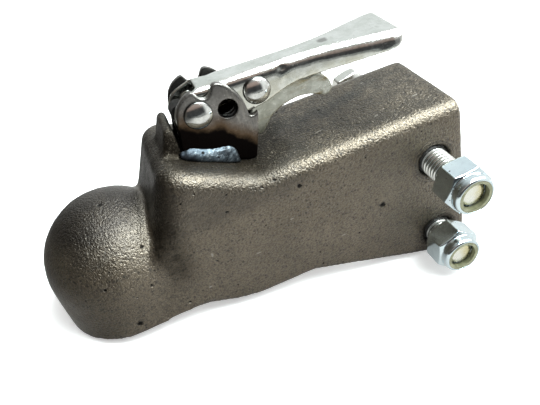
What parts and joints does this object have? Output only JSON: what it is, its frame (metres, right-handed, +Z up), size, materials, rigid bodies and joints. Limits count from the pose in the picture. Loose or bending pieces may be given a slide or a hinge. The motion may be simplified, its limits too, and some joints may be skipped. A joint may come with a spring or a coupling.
{
  "type": "trailer coupling head",
  "caption": "Cast trailer coupling head with a domed ball socket, welded latch bracket, folded hand lever with finger trigger, swinging ball clamp and loose cross bolts with lock nuts.",
  "frame": {"origin": "centre of the tow ball that the socket closes over", "axes": "+X to the rear, where the trailer's tongue goes in; +Z up, away from the ball's shank; -Y is the left side, the side of the nuts"},
  "size_m": [0.2322, 0.1576, 0.1441],
  "materials": {
    "casting": "sand cast, thin oil film",
    "clamp_iron": "cast, rough",
    "bracket_steel": "bare pressed steel, heat tinted near the welds",
    "weld": "weld bead, shiny",
    "dark_steel": "black oxide",
    "spring_steel": "oil tempered",
    "zinc_lever": "bright zinc plate",
    "zinc_rivet": "bright zinc plate, tumbled",
    "zinc_trigger": "zinc plate, slightly yellowed",
    "zinc_bolt": "bright zinc plate",
    "zinc_nut": "bright zinc plate",
    "nylon": "moulded, khaki"
  },
  "bodies": {
    "base": {"coupler_body": "casting", "left_latch_plate": "bracket_steel", "right_latch_plate": "bracket_steel", "left_plate_weld": "weld", "right_plate_weld": "weld", "catch_bar": "dark_steel", "left_pivot_rivet": "zinc_rivet", "right_pivot_rivet": "zinc_rivet", "jaw_pin": "dark_steel", "upper_bolt": "zinc_bolt", "lower_bolt": "zinc_bolt", "upper_nut": "zinc_nut", "lower_nut": "zinc_nut", "upper_nut_insert": "nylon", "lower_nut_insert": "nylon"},
    "lever": {"latch_lever": "zinc_lever", "trigger_rivet": "zinc_rivet", "link_pin": "dark_steel", "trigger_spring": "spring_steel"},
    "trigger": {"release_trigger": "zinc_trigger"},
    "stem": {"clamp_stem": "dark_steel", "spring_washer": "zinc_bolt", "adjusting_nut": "zinc_bolt", "clamp_spring": "spring_steel"},
    "jaw": {"ball_clamp": "clamp_iron"}
  },
  "joints": [
    {"name": "lever_lift", "type": "hinge", "parent": "base", "child": "lever", "pos_m": [0.0655, 0, 0.0683], "axis": [0, -1, 0], "range_deg": [0, 75]},
    {"name": "trigger_squeeze", "type": "hinge", "parent": "lever", "child": "trigger", "pos_m": [0.0967, 0, 0.0679], "axis": [0, -1, 0], "range_deg": [0, 11], "stiffness_Nm_per_rad": 1.2, "springref_deg": -6.88, "deforming": ["trigger_spring"]},
    {"name": "stem_hang", "type": "hinge", "parent": "lever", "child": "stem", "pos_m": [0.0581, 0, 0.0683], "axis": [0, -1, 0], "range_deg": [-75, 0]},
    {"name": "jaw_swing", "type": "hinge", "parent": "base", "child": "jaw", "pos_m": [0.079, 0, -0.006], "axis": [0, -1, 0], "range_deg": [0, 23], "deforming": ["clamp_spring"]}
  ],
  "couplings": [
    {"joint": "stem_hang", "follows": "lever_lift", "ratio": -1},
    {"joint": "jaw_swing", "follows": "lever_lift", "ratio": 0.30667}
  ]
}
